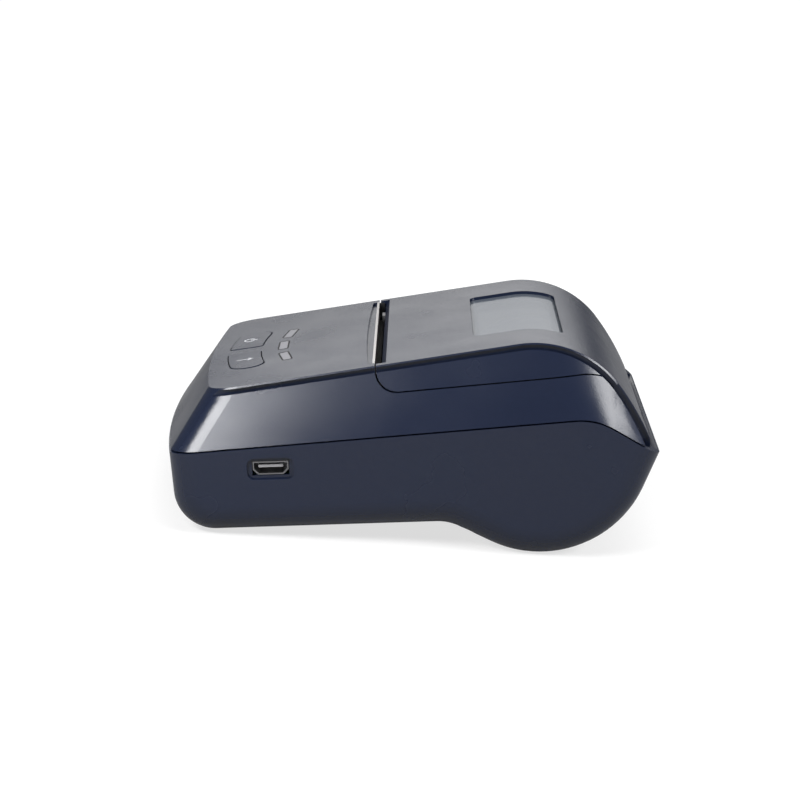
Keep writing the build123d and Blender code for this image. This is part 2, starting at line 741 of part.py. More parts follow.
# Platen and its bushes
with BuildPart() as platen_shaft:
    add(rod(platen, shaft_radius, (-plate_outer - 0.5, gear_end + 0.1)))
platen_shaft.part.label = "platen_shaft"
export_step(platen_shaft.part, "parts/platen_shaft.step")

with BuildPart() as platen_roller:
    add(rod(platen, platen_radius, (-platen_length / 2, platen_length / 2)))
    add(rod(platen, shaft_radius, (-platen_length / 2, platen_length / 2)), mode=Mode.SUBTRACT)
platen_roller.part.label = "platen_roller"
export_step(platen_roller.part, "parts/platen_roller.step")

with BuildPart() as platen_bushes:
    add(rod(platen, bush_radius, (bush_inner, bush_inner + bush_width)))
    add(rod(platen, shaft_radius + running_clearance, (bush_inner, bush_inner + bush_width)),
        mode=Mode.SUBTRACT)
    mirror(about=side)
platen_bushes.part.label = "platen_bushes"
export_step(platen_bushes.part, "parts/platen_bushes.step")


# Gear train
def gear(centre, tooth_number, phase, x, bore):
    """A spur gear with straight-sided teeth, one of them at the phase angle from the rear."""
    pitch_radius = tooth_number * module / 2
    step = 360 / tooth_number
    outline = []
    for number in range(tooth_number):
        for radius, part_of_step in ((pitch_radius - 1.25 * module, -0.29),
                                     (pitch_radius + 0.8 * module, -0.11),
                                     (pitch_radius + 0.8 * module, 0.11),
                                     (pitch_radius - 1.25 * module, 0.29)):
            angle = radians(phase + (number + part_of_step) * step)
            outline.append((radius * cos(angle), radius * sin(angle)))
    with BuildPart() as wheel:
        with BuildSketch(side.offset(x[0])):
            with Locations(centre):
                Polygon(*outline, align=None)
                Circle(bore, mode=Mode.SUBTRACT)
        extrude(amount=x[1] - x[0])
    return wheel.part


def meshed(phase, driver, follower, toward):
    """The phase of a gear that meshes with a driver, which lies toward an angle from it."""
    return toward + 180 - driver / follower * (phase - toward) - 180 / follower


idler_phase = meshed(90, platen_teeth, idler_teeth, -90 - idler_lean)
small_phase = meshed(idler_phase, idler_teeth, small_teeth, -90 - compound_lean)
pinion_phase = meshed(0, large_teeth, pinion_teeth, 90 + motor_lean)
pin_bore = gear_pin_radius + running_clearance

with BuildPart() as platen_gear:
    add(gear(platen, platen_teeth, 90, (gear_plane, gear_end), shaft_radius))
platen_gear.part.label = "platen_gear"
export_step(platen_gear.part, "parts/platen_gear.step")

with BuildPart() as idler_gear:
    add(gear(idler, idler_teeth, idler_phase, (gear_plane, gear_end), pin_bore))
idler_gear.part.label = "idler_gear"
export_step(idler_gear.part, "parts/idler_gear.step")

with BuildPart() as compound_gear:
    add(gear(compound, small_teeth, small_phase, (gear_plane, gear_end), pin_bore))
    add(gear(compound, large_teeth, 0, (large_plane, large_end), pin_bore))
    add(rod(compound, 2.2, (gear_end, large_plane)))
    add(rod(compound, pin_bore, (gear_end, large_plane)), mode=Mode.SUBTRACT)
compound_gear.part.label = "compound_gear"
export_step(compound_gear.part, "parts/compound_gear.step")

with BuildPart() as gear_pins:
    add(rod(idler, gear_pin_radius, (plate_inner, gear_end + 0.2)))
    add(rod(compound, gear_pin_radius, (plate_inner, large_end + 0.2)))
gear_pins.part.label = "gear_pins"
export_step(gear_pins.part, "parts/gear_pins.step")

with BuildPart() as motor_pinion:
    add(gear(motor, pinion_teeth, pinion_phase, (large_plane, large_end), gear_pin_radius))
motor_pinion.part.label = "motor_pinion"
export_step(motor_pinion.part, "parts/motor_pinion.step")

with BuildPart() as motor_shaft:
    add(rod(motor, gear_pin_radius, (plate_inner - 5, large_end + 0.2)))
motor_shaft.part.label = "motor_shaft"
export_step(motor_shaft.part, "parts/motor_shaft.step")

with BuildPart() as stepper_motor:
    add(rod(motor, motor_radius, (plate_inner - motor_length, plate_inner)))
    add(rod(motor, pin_bore, (plate_inner - 5.2, plate_inner)), mode=Mode.SUBTRACT)
stepper_motor.part.label = "stepper_motor"
export_step(stepper_motor.part, "parts/stepper_motor.step")

# Mechanism frame with the slots that the bushes drop into
frame_top = board_h + 1
plate_front, plate_rear = platen_s - 14.5, platen_s + 7.5
seat_radius = bush_radius + running_clearance
mouth = seat_radius + slot_depth * tan(radians(slot_flare))
with BuildPart() as mechanism_frame:
    with BuildSketch(side.offset(plate_inner)):
        with BuildLine():
            Polyline((plate_front, board_h), (plate_rear, board_h), (plate_rear, platen_h - 7),
                     (plate_rear - 2, platen_h + 2.5), (platen_s - 7.5, platen_h + 3.5),
                     (plate_front - 8, platen_h + 1), (plate_front - 8, board_h + 4.25),
                     (plate_front, board_h + 2.25), close=True)
        make_face()
        with Locations(platen):
            Circle(seat_radius, mode=Mode.SUBTRACT)
        with Locations(Pos(platen_s, platen_h) * Rot(0, 0, -slot_lean)):
            Polygon((-seat_radius, 0), (seat_radius, 0), (mouth, slot_depth), (-mouth, slot_depth),
                    align=None, mode=Mode.SUBTRACT)
    cheek = extrude(amount=plate_thickness)
    mirror(cheek, about=side)
    add(block((-plate_outer, plate_outer), (plate_front, plate_rear), (board_h, frame_top)))
    add(block((-12, 12), (spring_wall - 1, spring_wall), (board_h, spring_h + 3)))
    add(both_sides(post(frame_post, boss_radius, (board_h, frame_top))))
    add(both_sides(block((plate_inner, frame_post[0]), (plate_rear - 3.4, plate_rear),
                         (board_h, frame_top))))
    add(both_sides(post(frame_post, screw_radius, (board_h, frame_top))), mode=Mode.SUBTRACT)
    add(rod(idler, gear_pin_radius, (plate_inner, plate_outer)), mode=Mode.SUBTRACT)
    add(rod(compound, gear_pin_radius, (plate_inner, plate_outer)), mode=Mode.SUBTRACT)
    add(rod(motor, gear_pin_radius + 1.2, (plate_inner, plate_outer)), mode=Mode.SUBTRACT)
mechanism_frame.part.label = "mechanism_frame"
export_step(mechanism_frame.part, "parts/mechanism_frame.step")

with BuildPart() as frame_screws:
    add(both_sides(post(frame_post, head_radius, (frame_top, frame_top + 1.2))))
    add(both_sides(post(frame_post, screw_radius, (board_h - 6, frame_top))))
frame_screws.part.label = "frame_screws"
export_step(frame_screws.part, "parts/frame_screws.step")

# Print head
with BuildPart() as thermal_head:
    add(block((-head_half, head_half), (sink_s, head_s), (head_bottom, head_top)))
thermal_head.part.label = "thermal_head"
export_step(thermal_head.part, "parts/thermal_head.step")

with BuildPart() as heat_sink:
    add(block((-head_half, head_half), (sink_front, sink_s), (sink_bottom, head_top - 1)))
    add(block((-plate_inner, plate_inner), (sink_front, sink_s),
              (sink_pivot_h - 1.5, sink_pivot_h + 1.5)))
heat_sink.part.label = "heat_sink"
export_step(heat_sink.part, "parts/heat_sink.step")

spring_length = sink_front - spring_wall
with BuildPart() as head_springs:
    for x in (-8.0, 8.0):
        spine = Plane(origin=side.from_local_coords((spring_wall, spring_h)) + (x, 0, 0),
                      x_dir=(1, 0, 0), z_dir=base.y_dir)
        with BuildSketch(spine):
            Circle(1.85)
            Circle(1.35, mode=Mode.SUBTRACT)
        extrude(amount=spring_length)
head_springs.part.label = "head_springs"
export_step(head_springs.part, "parts/head_springs.step")

with BuildPart() as head_flex:
    with BuildSketch(side.offset(-head_half)):
        with BuildLine():
            FilletPolyline((head_s + 0.1, head_bottom + 2), (head_s + 0.1, board_top + 0.1),
                           (board_start + 12.4, board_top + 0.1), radius=1.0)
        trace(line_width=0.2)
    extrude(amount=13)
head_flex.part.label = "head_flex"
export_step(head_flex.part, "parts/head_flex.step")

with BuildPart() as paper_sensor:
    bay_wall_s = roll[0] - sqrt((roll_radius + 2.7) ** 2 - (bay_top - roll[1]) ** 2)
    add(block((-14, -8), (bay_wall_s + 0.1, bay_wall_s + 1.5), (bay_top, bay_top + 2)))
paper_sensor.part.label = "paper_sensor"
export_step(paper_sensor.part, "parts/paper_sensor.step")

# Paper roll
roll_half = (paper_width - 1) / 2
with BuildPart() as paper_roll:
    add(rod(roll, roll_radius, (-roll_half, roll_half)))
    add(rod(roll, core_radius, (-roll_half, roll_half)), mode=Mode.SUBTRACT)
paper_roll.part.label = "paper_roll"
export_step(paper_roll.part, "parts/paper_roll.step")

with BuildPart() as paper_core:
    add(rod(roll, core_radius, (-roll_half, roll_half)))
    add(rod(roll, core_bore, (-roll_half, roll_half)), mode=Mode.SUBTRACT)
paper_core.part.label = "paper_core"
export_step(paper_core.part, "parts/paper_core.step")

# Main board with its socket
with BuildPart() as main_board:
    add(block((-board_left, board_right), (board_start, board_start + board_length),
              (board_h, board_top)))
main_board.part.label = "main_board"
export_step(main_board.part, "parts/main_board.step")

with BuildPart() as board_chips:
    for x, inward, width, length, height in ((12.0, 5.9, 8.0, 8.0, 1.0), (-13.0, 3.9, 5.0, 5.0, 0.9),
                                             (24.0, 3.4, 4.0, 3.0, 1.1), (-24.0, 2.4, 6.0, 2.5, 1.2),
                                             (3.0, 1.9, 3.2, 1.5, 0.8), (-4.0, 4.4, 3.0, 3.0, 0.8)):
        add(block((x - width / 2, x + width / 2),
                  (board_start + inward - length / 2, board_start + inward + length / 2),
                  (board_top, board_top + height)))
board_chips.part.label = "board_chips"
export_step(board_chips.part, "parts/board_chips.step")

shell_end = half_width - recess_depth - 0.1
shell_start = shell_end - socket_depth
with BuildPart() as usb_shell:
    for grow, start, mode in ((0.0, shell_start, Mode.ADD),
                              (-socket_wall, shell_start + 0.4, Mode.SUBTRACT)):
        wide = socket_width / 2 + grow
        low = socket_h - socket_height / 2 - grow
        high = socket_h + socket_height / 2 + grow
        cut = 1.1 + 0.4 * grow
        with BuildSketch(side.offset(start)):
            with BuildLine():
                Polyline((socket_s - wide, high), (socket_s + wide, high),
                         (socket_s + wide, low + cut), (socket_s + wide - cut, low),
                         (socket_s - wide + cut, low), (socket_s - wide, low + cut), close=True)
            make_face()
        extrude(amount=shell_end - start, mode=mode)
usb_shell.part.label = "usb_shell"
export_step(usb_shell.part, "parts/usb_shell.step")

with BuildPart() as usb_tongue:
    add(block((shell_start + 0.4, shell_end - 0.6), (socket_s - 2.6, socket_s + 2.6),
              (socket_h, socket_h + 0.6)))
usb_tongue.part.label = "usb_tongue"
export_step(usb_tongue.part, "parts/usb_tongue.step")

# Battery and its door
with BuildPart() as battery_pack:
    with BuildSketch(base.offset(battery_bottom)):
        with Locations((0, (battery_start + battery_end) / 2)):
            RectangleRounded(2 * battery_half, battery_length, 1.5)
    extrude(amount=battery_top - battery_bottom)
battery_pack.part.label = "battery_pack"
export_step(battery_pack.part, "parts/battery_pack.step")

with BuildPart() as battery_contacts:
    for x in contact_places:
        add(block((x - 0.8, x + 0.8), (battery_start - 0.5, battery_start), (6, board_h)))
battery_contacts.part.label = "battery_contacts"
export_step(battery_contacts.part, "parts/battery_contacts.step")

with BuildPart() as battery_door:
    add(block((-door[0], door[0]), (trunnion[0], door[2]), (0, door_thickness)))
    add(rod(trunnion, door_thickness / 2, (-door[0], door[0])))
    add(both_sides(rod(trunnion, trunnion_radius, (door[0], door[0] + trunnion_reach))))
    with BuildSketch(base):
        with Locations((0, door[2] - 5)):
            SlotOverall(16, 3)
    extrude(amount=0.7, mode=Mode.SUBTRACT)
battery_door.part.label = "battery_door"
export_step(battery_door.part, "parts/battery_door.step")


# Keys, lights and their board
def key_cap():
    """The right-hand button with the rim that keeps it under the deck."""
    with BuildPart() as cap:
        add(key_solid(-key_gap, -key_bottom, key_proud))
        add(key_solid(key_flange, -key_bottom, -wall - 0.05))
    return cap.part


def mirrored(solid):
    """The mirror image of a solid on the other side of the case."""
    with BuildPart() as image:
        mirror(solid, about=side)
    return image.part


with BuildPart() as feed_button:
    add(key_cap())
feed_button.part.label = "feed_button"
export_step(feed_button.part, "parts/feed_button.step")

with BuildPart() as power_button:
    add(mirrored(key_cap()))
power_button.part.label = "power_button"
export_step(power_button.part, "parts/power_button.step")

with BuildPart() as feed_switch:
    add(deck_block((key_middle[0] - 2.25, key_middle[0] + 2.25),
                   (key_middle[1] - 2.25, key_middle[1] + 2.25), (-key_board_top, 1 - key_board_top)))
    add(deck_post(key_middle, 1.0, (1 - key_board_top, -key_bottom - key_travel - 0.1)))
feed_switch.part.label = "feed_switch"
export_step(feed_switch.part, "parts/feed_switch.step")

with BuildPart() as power_switch:
    add(mirrored(feed_switch.part))
power_switch.part.label = "power_switch"
export_step(power_switch.part, "parts/power_switch.step")

with BuildPart() as key_board:
    add(deck_block((-key_board_half, key_board_half), key_board_ends,
                   (-key_board_top - key_board_thickness, -key_board_top)))
key_board.part.label = "key_board"
export_step(key_board.part, "parts/key_board.step")

for place, turn in led_turns.items():
    with BuildPart() as led_lens:
        add(led_bar(turn, led_length, led_width, (-3.9, 0)))
    led_lens.part.label = f"led_lens_{place}"
    export_step(led_lens.part, f"parts/led_lens_{place}.step")

with BuildPart() as status_leds:
    for turn in led_turns.values():
        add(led_bar(turn, 2.0, 1.2, (-key_board_top, 0.6 - key_board_top)))
status_leds.part.label = "status_leds"
export_step(status_leds.part, "parts/status_leds.step")


def under_deck(along, depth):
    """A point in side view that lies along the deck from its front edge, and under it."""
    lean = radians(deck_angle)
    return (deck_s + along * cos(lean) + depth * sin(lean),
            deck_h(deck_s) + along * sin(lean) - depth * cos(lean))


flex_depth = key_board_top + key_board_thickness + 0.1
flex_bend = under_deck(20.6, flex_depth)
with BuildPart() as key_flex:
    with BuildSketch(side.offset(-5)):
        with BuildLine():
            FilletPolyline(under_deck(12, flex_depth), flex_bend, (flex_bend[0], board_top + 0.1),
                           (board_start + 8.4, board_top + 0.1), radius=1.0)
        trace(line_width=0.2)
    extrude(amount=8)
key_flex.part.label = "key_flex"
export_step(key_flex.part, "parts/key_flex.step")

# Screws and feet
with BuildPart() as case_screws:
    for spot, top in ((front_boss, screw_top), (rear_boss, screw_top + 2)):
        add(both_sides(post(spot, head_radius, (seat_h - head_height, seat_h))))
        add(both_sides(post(spot, screw_radius, (seat_h, top))))
case_screws.part.label = "case_screws"
export_step(case_screws.part, "parts/case_screws.step")

with BuildPart() as front_feet:
    add(both_sides(post((foot_x, foot_s), foot_radius, (-3, foot_sunk))))
    with BuildSketch(Plane.XY):
        Rectangle(4 * half_width, 4 * half_width)
    extrude(amount=-10, mode=Mode.SUBTRACT)
front_feet.part.label = "front_feet"
export_step(front_feet.part, "parts/front_feet.step")
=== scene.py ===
"""Portable receipt printer: finishes, fine pieces, light and camera over the CAD frame."""
import math

import bpy
import numpy as np
from bpy.props import FloatProperty, FloatVectorProperty, IntProperty, PointerProperty
from mathutils import Matrix, Vector


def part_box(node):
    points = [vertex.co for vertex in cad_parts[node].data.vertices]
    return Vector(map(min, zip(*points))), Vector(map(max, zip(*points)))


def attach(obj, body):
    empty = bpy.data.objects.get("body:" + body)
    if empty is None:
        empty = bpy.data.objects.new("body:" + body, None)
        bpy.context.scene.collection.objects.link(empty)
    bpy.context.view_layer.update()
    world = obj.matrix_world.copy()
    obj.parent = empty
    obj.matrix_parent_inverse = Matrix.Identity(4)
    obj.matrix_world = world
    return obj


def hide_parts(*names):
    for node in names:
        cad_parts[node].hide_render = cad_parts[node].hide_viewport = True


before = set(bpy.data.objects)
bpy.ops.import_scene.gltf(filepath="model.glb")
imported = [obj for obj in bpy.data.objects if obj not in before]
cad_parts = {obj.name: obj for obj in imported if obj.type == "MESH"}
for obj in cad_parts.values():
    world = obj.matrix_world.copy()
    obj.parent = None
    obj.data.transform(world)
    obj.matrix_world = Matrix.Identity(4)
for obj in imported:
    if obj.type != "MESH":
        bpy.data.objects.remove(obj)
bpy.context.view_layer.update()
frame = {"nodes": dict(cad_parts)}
nodes = frame["nodes"]

bl_info = {
    "name": "Receipt Printer Dresser",
    "version": (1, 0, 0),
    "blender": (4, 5, 0),
    "location": "3D View > Sidebar > Printer",
    "description": "Adds finishes, fine pieces, a stage and a camera to a portable printer",
    "category": "Object",
}

MM = 0.001


def leaning(angle):
    """The directions along and away from a plane that rises to the rear by an angle."""
    along = np.array([0.0, math.cos(angle), math.sin(angle)])
    away = np.array([0.0, -math.sin(angle), math.cos(angle)])
    return along, away


# The printer stands on its front feet and its bulge, so its flat base rises to the rear, and
# the deck rises further. BASE and DECK are a point on each plane.
LEAN = math.radians(5.7269)
DECK_LEAN = LEAN + math.radians(6.9)
ACROSS = np.array([1.0, 0.0, 0.0])
ALONG, OVER = leaning(LEAN)
DECK_ALONG, DECK_OVER = leaning(DECK_LEAN)
BASE = np.array([0.0, -51.507, -0.441]) * MM
DECK = np.array([0.0, -45.4475, 30.3124]) * MM

# Finishes of the inside and the small parts

MOULDED = {
    "Inner plastic": dict(colour=(0.012, 0.012, 0.014, 1), roughness=0.5, coarser=2),
    "Platen rubber": dict(colour=(0.02, 0.02, 0.021, 1), roughness=0.75, deeper=2),
    "Foot rubber": dict(colour=(0.012, 0.012, 0.012, 1), roughness=0.85, coarser=2, deeper=2),
    "Head ceramic": dict(colour=(0.006, 0.006, 0.006, 1), roughness=0.65, specular=0.1),
}
DRAWN = {
    "Bright steel": dict(colour=(0.66, 0.66, 0.67, 1), roughness=0.22),
    "Motor steel": dict(colour=(0.45, 0.46, 0.48, 1), roughness=0.35),
    "Cutter steel": dict(colour=(0.36, 0.35, 0.345, 1), roughness=0.36),
    "Socket steel": dict(colour=(0.24, 0.24, 0.25, 1), roughness=0.3),
    "Milled aluminium": dict(colour=(0.72, 0.73, 0.74, 1), roughness=0.3, fineness=5000.0),
}
PLAIN = {
    "Gear plastic": dict(colour=(0.62, 0.6, 0.54, 1), roughness=0.4),
    "Gilt brass": dict(colour=(0.83, 0.6, 0.25, 1), roughness=0.25, metallic=1.0),
    "Chip black": dict(colour=(0.012, 0.012, 0.014, 1), roughness=0.45),
    "Board lacquer": dict(colour=(0.012, 0.11, 0.05, 1), roughness=0.3, coat=0.4),
    "Battery wrap": dict(colour=(0.02, 0.06, 0.2, 1), roughness=0.28, coat=0.2),
    "Flex film": dict(colour=(0.26, 0.12, 0.035, 1), roughness=0.35),
    "Light bar lens": dict(colour=(0.22, 0.22, 0.245, 1), roughness=0.35),
    "Guide plastic": dict(colour=(0.11, 0.11, 0.115, 1), roughness=0.4),
    "Tongue plastic": dict(colour=(0.36, 0.36, 0.37, 1), roughness=0.3),
    "Core card": dict(colour=(0.38, 0.25, 0.13, 1), roughness=0.9),
}
FINISHED = {
    "Charcoal shell": ("lower_case", "battery_door"),
    "Charcoal deck": ("upper_case", "cover"),
    "Key plastic": ("feed_button", "power_button"),
    "Inner plastic": ("cover_liner", "mechanism_frame", "platen_bushes"),
    "Platen rubber": ("platen_roller",),
    "Foot rubber": ("front_feet",),
    "Head ceramic": ("thermal_head",),
    "Bright steel": ("hinge_pin", "platen_shaft", "gear_pins", "motor_shaft", "frame_screws",
                     "case_screws", "head_springs"),
    "Motor steel": ("stepper_motor",),
    "Cutter steel": ("tear_bar",),
    "Socket steel": ("usb_shell",),
    "Milled aluminium": ("heat_sink",),
    "Gear plastic": ("platen_gear", "idler_gear", "compound_gear"),
    "Gilt brass": ("motor_pinion", "battery_contacts"),
    "Chip black": ("board_chips", "feed_switch", "power_switch", "paper_sensor"),
    "Board lacquer": ("main_board", "key_board"),
    "Battery wrap": ("battery_pack",),
    "Flex film": ("head_flex", "key_flex"),
    "Light bar lens": ("led_lens_left", "led_lens_middle", "led_lens_right", "status_leds"),
    "Guide plastic": ("slot_guide",),
    "Tongue plastic": ("usb_tongue",),
    "Core card": ("paper_core",),
    "Thermal paper": ("paper_roll",),
    "Smoked window": ("window",),
}
KEY_MATT = 0.02  # how much rougher the keys are than the deck
PAPER = (0.86, 0.86, 0.84, 1)
PAPER_SPACING = 0.5 * MM

# The head's springs: where they lie across the case, the coils, and the sleeves that they
# replace. END_TURNS is the share of the turning that lies flat at each end.

SPRING_PLACES = (-8 * MM, 8 * MM)
COIL_RADIUS = 1.6 * MM
SLEEVE_RADIUS = 1.85 * MM
END_TURNS = 0.1
TURN_STEPS = 40
WIRE_SIDES = 10

# Signs and light bars, in millimetres across, along and above the deck

INK_SINK = 0.02
INK_DEPTH = 0.04
POWER_CENTRE = np.array([-10.2, 8.0])
POWER_RADIUS = 1.25
POWER_ARC = (40, 320)  # degrees
POWER_BAR = (0.1, 1.75)
FEED_CENTRE = np.array([9.2, 8.1])
FEED_SHAFT = (-1.9, 1.8)
FEED_HEAD = (0.95, 1.05)  # half width and length
# Low and high levels of the dark frames round the light bars, which are painted shade of their
# gaps
GAP_SHADE_LEVELS = (-0.05, 0.02)
TOP_SKIN = 0.02

# The slot's fine pieces, in millimetres across, along and above the base

HEATER_HALF_LENGTH = 24
HEATER_HALF_HEIGHT = 0.25
HEATER_SINK = 0.02
HEATER_RISE = 0.03
BLIND_ACROSS = (-31.95, -31.6)
BLIND_ALONG = (-0.8, 0.9)  # from the cover's front edge
BLIND_OVER = (30.8, 34.3)

# Floor, lamps and camera, in metres

WHITE = (1, 1, 1, 1)
FLOOR_GREY = (0.3, 0.3, 0.3, 1)
FLOOR_REACH = 3.0
LAMPS = {
    "far_panel": dict(place=(-0.6, 0.03, 0.25), target=(0, 0, 0.05), size=(0.42, 0.24),
                      power="back_power"),
    "overhead": dict(place=(0.1, 0.1, 0.7), target=(0, 0, 0.02), size=(0.5, 0.5),
                     power="key_power"),
    "front_side": dict(place=(0.184, -0.16, 0.18), target=(0.037, -0.05, 0.025),
                       size=(0.17, 0.06), power="side_power"),
    "rear_side": dict(place=(0.19, 0.285, 0.235), target=(0.037, 0.042, 0.035),
                      size=(0.19, 0.12), power="side_power", share=1.42),
}
EYE = (0.524786, -0.006502, 0.155891)
EYE_FORWARD = (-0.9693127, 0.0075132, -0.2457162)
EYE_UP = (-0.2456836, -0.0642138, 0.9672208)
SENSOR_WIDTH = 36.0  # millimetres
NEAREST = 0.01


# Sizes and colours that a user would change

def colour_setting(name, description, default):
    return FloatVectorProperty(name=name, description=description, default=default,
                               subtype="COLOR", size=4, min=0, max=1)


def size_setting(name, description, default, least, most):
    """A length, given in millimetres and kept in metres."""
    return FloatProperty(name=name, description=description, default=default * MM,
                         min=least * MM, max=most * MM, unit="LENGTH", subtype="DISTANCE",
                         precision=6)


def power_setting(name, description, default):
    return FloatProperty(name=name, description=description, default=default, min=0, max=200,
                         unit="POWER")


def share_setting(name, description, default):
    return FloatProperty(name=name, description=description, default=default, min=0, max=1,
                         subtype="FACTOR")


class PlasticSettings(bpy.types.PropertyGroup):
    """The case's plastic and its window"""
    shell_colour: colour_setting(
        "Shell colour", "Colour of the case's charcoal plastic", (0.0075, 0.0125, 0.032, 1))
    deck_colour: colour_setting(
        "Deck colour", "Colour of the deck and the cover's top", (0.0085, 0.0135, 0.033, 1))
    roughness: share_setting("Roughness", "How matt the case is", 0.25)
    grain_size: size_setting("Grain size", "Size of the moulded texture", 0.35, 0.05, 2)
    grain_height: size_setting(
        "Grain height", "How far the moulded texture stands out", 0.014, 0, 0.1)
    window_colour: colour_setting(
        "Window colour", "Colour of the smoked window", (0.13, 0.15, 0.18, 1))
    window_cover: share_setting("Window cover", "How much the window hides", 0.75)


class SpringSettings(bpy.types.PropertyGroup):
    """The springs behind the print head"""
    turns: IntProperty(name="Turns", description="Turns of wire in a head spring", default=5,
                       min=2, max=12)
    wire: size_setting("Wire radius", "Radius of the spring's wire", 0.24, 0.1, 0.4)


class SignSettings(bpy.types.PropertyGroup):
    """The signs on the keys, and the dark frames round the light bars, which are painted shade
    of the gaps round their lenses
    """
    ink: colour_setting("Ink", "Colour of the signs printed on the keys", (0.62, 0.63, 0.66, 1))
    stroke: size_setting("Stroke", "Width of a sign's lines", 0.32, 0.1, 1)
    # The frame is painted shade: a dark ribbon laid where the gap round a light bar's lens is
    # shaded
    frame: size_setting("Frame", "Width of the dark frame round a light bar", 0.34, 0.1, 0.6)


class StageSettings(bpy.types.PropertyGroup):
    """The lamps, the background and the camera"""
    key_power: power_setting("Key light", "Power of the overhead soft light", 3.2)
    back_power: power_setting("Back light", "Power of the panel behind the printer", 0.365)
    side_power: power_setting("Side light", "Power of the side soft lights", 0.73)
    sky: share_setting("Sky", "Strength of the light from all around", 0.05)
    mirror: share_setting(
        "Mirrored background", "How bright the white background is in reflections", 0.15)
    lens: FloatProperty(name="Lens", description="Focal length of the camera in millimetres",
                        default=107.17, min=10, max=300, unit="CAMERA")


# Shader helpers

def fill(node, values):
    """Sets a node's inputs by their labels."""
    for label, value in values.items():
        node.inputs[label].default_value = value


def fresh_material(name):
    """A new material that holds one shader, with its node tree and the shader."""
    material = bpy.data.materials.new(name)
    material.use_nodes = True
    tree = material.node_tree
    shader = next(node for node in tree.nodes if node.type == "BSDF_PRINCIPLED")
    return material, tree, shader


def fresh_group(name, inputs, outputs):
    """An empty shader node group with number sockets, and its two end nodes."""
    group = bpy.data.node_groups.new(name, "ShaderNodeTree")
    for label, value in inputs.items():
        socket = group.interface.new_socket(label, in_out="INPUT", socket_type="NodeSocketFloat")
        socket.default_value = value
    for label in outputs:
        group.interface.new_socket(label, in_out="OUTPUT", socket_type="NodeSocketFloat")
    return group, group.nodes.new("NodeGroupInput"), group.nodes.new("NodeGroupOutput")


def effect(tree, name, build, values):
    """A shared effect in a material, built at its first use, with the material's own values."""
    node = tree.nodes.new("ShaderNodeGroup")
    node.node_tree = bpy.data.node_groups.get(name) or build(name)
    fill(node, values)
    return node


def maths(tree, operation, *values):
    """The output of a Math node whose inputs are sockets or numbers."""
    node = tree.nodes.new("ShaderNodeMath")
    node.operation = operation
    for socket, value in zip(node.inputs, values):
        if isinstance(value, (int, float)):
            socket.default_value = value
        else:
            tree.links.new(value, socket)
    return node.outputs[0]


def object_place(tree):
    """The Object coordinates."""
    return tree.nodes.new("ShaderNodeTexCoord").outputs["Object"]


def noise(tree, vector, detail=2.0):
    """A noise texture that reads a vector."""
    node = tree.nodes.new("ShaderNodeTexNoise")
    node.inputs["Detail"].default_value = detail
    tree.links.new(vector, node.inputs["Vector"])
    return node


def moulded_grain(name):
    """Fine moulded texture: a fine noise as height, and a broad one as shade and polish."""
    patches_per_metre = 55.0
    polish_swing = 0.18
    group, start, end = fresh_group(name, {"Size": 0.35 * MM, "Shade": 0.06},
                                    ("Height", "Tint", "Roughness"))
    place = object_place(group)
    fine = noise(group, place)
    broad = noise(group, place, detail=3.0)
    broad.inputs["Scale"].default_value = patches_per_metre
    group.links.new(maths(group, "DIVIDE", 1.0, start.outputs["Size"]), fine.inputs["Scale"])
    group.links.new(fine.outputs["Fac"], end.inputs["Height"])
    swing = maths(group, "SUBTRACT", broad.outputs["Fac"], 0.5)
    tint = maths(group, "MULTIPLY", swing, start.outputs["Shade"])
    group.links.new(maths(group, "ADD", tint, 1.0), end.inputs["Tint"])
    group.links.new(maths(group, "MULTIPLY", swing, polish_swing), end.inputs["Roughness"])
    return group


def drawn_lines(name):
    """Lines left by rolling or grinding: noise stretched along X, as height and shade."""
    stretch_along_x = 0.02
    tint_swing = 0.25
    group, start, end = fresh_group(name, {"Fineness": 9000.0}, ("Height", "Tint"))
    stretch = group.nodes.new("ShaderNodeMapping")
    stretch.inputs["Scale"].default_value = (stretch_along_x, 1.0, 1.0)
    group.links.new(object_place(group), stretch.inputs["Vector"])
    lines = noise(group, stretch.outputs["Vector"])
    group.links.new(start.outputs["Fineness"], lines.inputs["Scale"])
    group.links.new(lines.outputs["Fac"], end.inputs["Height"])
    swing = maths(group, "SUBTRACT", lines.outputs["Fac"], 0.5)
    tint = maths(group, "ADD", maths(group, "MULTIPLY", swing, tint_swing), 1.0)
    group.links.new(tint, end.inputs["Tint"])
    return group


def wound_rings(name):
    """Rings about an axis along X: sawtooth bands of the distance from it, as a shade."""
    darkest, tint_swing = 0.9, 0.12
    group, start, end = fresh_group(
        name, {"Centre Y": 0.0, "Centre Z": 0.0, "Spacing": PAPER_SPACING}, ("Tint",))
    parts = group.nodes.new("ShaderNodeSeparateXYZ")
    group.links.new(object_place(group), parts.inputs["Vector"])
    back = maths(group, "SUBTRACT", parts.outputs["Y"], start.outputs["Centre Y"])
    up = maths(group, "SUBTRACT", parts.outputs["Z"], start.outputs["Centre Z"])
    square = maths(group, "ADD", maths(group, "MULTIPLY", back, back),
                   maths(group, "MULTIPLY", up, up))
    turns = maths(group, "DIVIDE", maths(group, "SQRT", square), start.outputs["Spacing"])
    band = maths(group, "MULTIPLY", maths(group, "FRACT", turns), tint_swing)
    group.links.new(maths(group, "ADD", band, darkest), end.inputs["Tint"])
    return group


def tinted(tree, shader, colour, tint):
    """Base Color as a plain colour times a changing tint."""
    mix = tree.nodes.new("ShaderNodeVectorMath")
    mix.operation = "SCALE"
    mix.inputs[0].default_value = colour[:3]
    tree.links.new(tint, mix.inputs["Scale"])
    tree.links.new(mix.outputs["Vector"], shader.inputs["Base Color"])


def raised(tree, shader, height, distance):
    """Normal from a Bump node that a changing height feeds."""
    bump = tree.nodes.new("ShaderNodeBump")
    fill(bump, {"Strength": 1.0, "Distance": distance})
    tree.links.new(height, bump.inputs["Height"])
    tree.links.new(bump.outputs["Normal"], shader.inputs["Normal"])


